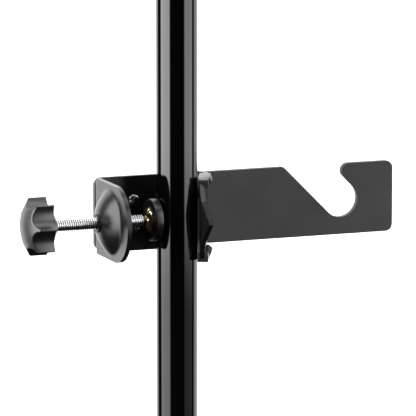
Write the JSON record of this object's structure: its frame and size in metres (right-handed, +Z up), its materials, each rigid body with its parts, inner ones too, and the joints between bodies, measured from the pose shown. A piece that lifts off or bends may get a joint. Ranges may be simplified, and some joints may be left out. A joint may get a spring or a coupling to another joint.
{
  "type": "clamp-on hook on a stand tube",
  "caption": "Steel screw clamp with a star knob, pressure pad and shoed jaw arm on a round stand tube, carrying a flat hook plate with a slanted open mouth.",
  "frame": {"origin": "centre of the tube's lower end", "axes": "+Z up along the tube, +X along the hook plate towards its free end, -Y towards the side the knob and screw are seen from, the hook plate stands behind the tube on +Y"},
  "size_m": [0.2816, 0.0758, 0.32],
  "materials": {
    "pole_tube": "gloss black enamel",
    "clamp_bracket": "satin black powder coat",
    "screw_bush": "black",
    "hook_plate": "satin dark grey powder coat",
    "jaw_shoe": "satin black moulded",
    "clamp_screw": "bright zinc plated",
    "star_knob": "satin black moulded",
    "pressure_pad": "satin black moulded",
    "pad_cup": "yellow zinc plated",
    "pad_clip": "spring steel",
    "bracket_screw_upper": "nickel plated",
    "bracket_screw_lower": "nickel plated",
    "plate_washer_upper": "zinc plated",
    "plate_washer_lower": "zinc plated",
    "plate_nut_upper": "zinc plated",
    "plate_nut_lower": "zinc plated"
  },
  "bodies": {
    "tube": {"pole_tube": "pole_tube"},
    "clamp": {"clamp_bracket": "clamp_bracket", "screw_bush": "screw_bush", "hook_plate": "hook_plate", "jaw_shoe": "jaw_shoe", "bracket_screw_upper": "bracket_screw_upper", "bracket_screw_lower": "bracket_screw_lower", "plate_washer_upper": "plate_washer_upper", "plate_washer_lower": "plate_washer_lower", "plate_nut_upper": "plate_nut_upper", "plate_nut_lower": "plate_nut_lower"},
    "pad": {"pressure_pad": "pressure_pad", "pad_cup": "pad_cup"},
    "screw": {"clamp_screw": "clamp_screw", "star_knob": "star_knob", "pad_clip": "pad_clip"}
  },
  "joints": [
    {"name": "height_slide", "type": "slide", "parent": "tube", "child": "clamp", "axis": [0, 0, 1], "range_m": [-0.12, 0.13]},
    {"name": "pad_slide", "type": "slide", "parent": "clamp", "child": "pad", "axis": [1, 0, 0], "range_m": [-0.02, 0]},
    {"name": "screw_turn", "type": "hinge", "parent": "pad", "child": "screw", "pos_m": [-0.06, 0, 0.155], "axis": [1, 0, 0], "range_deg": [-4801, 0]}
  ],
  "couplings": [
    {"joint": "screw_turn", "follows": "pad_slide", "rad_per_m": 4188.8}
  ]
}
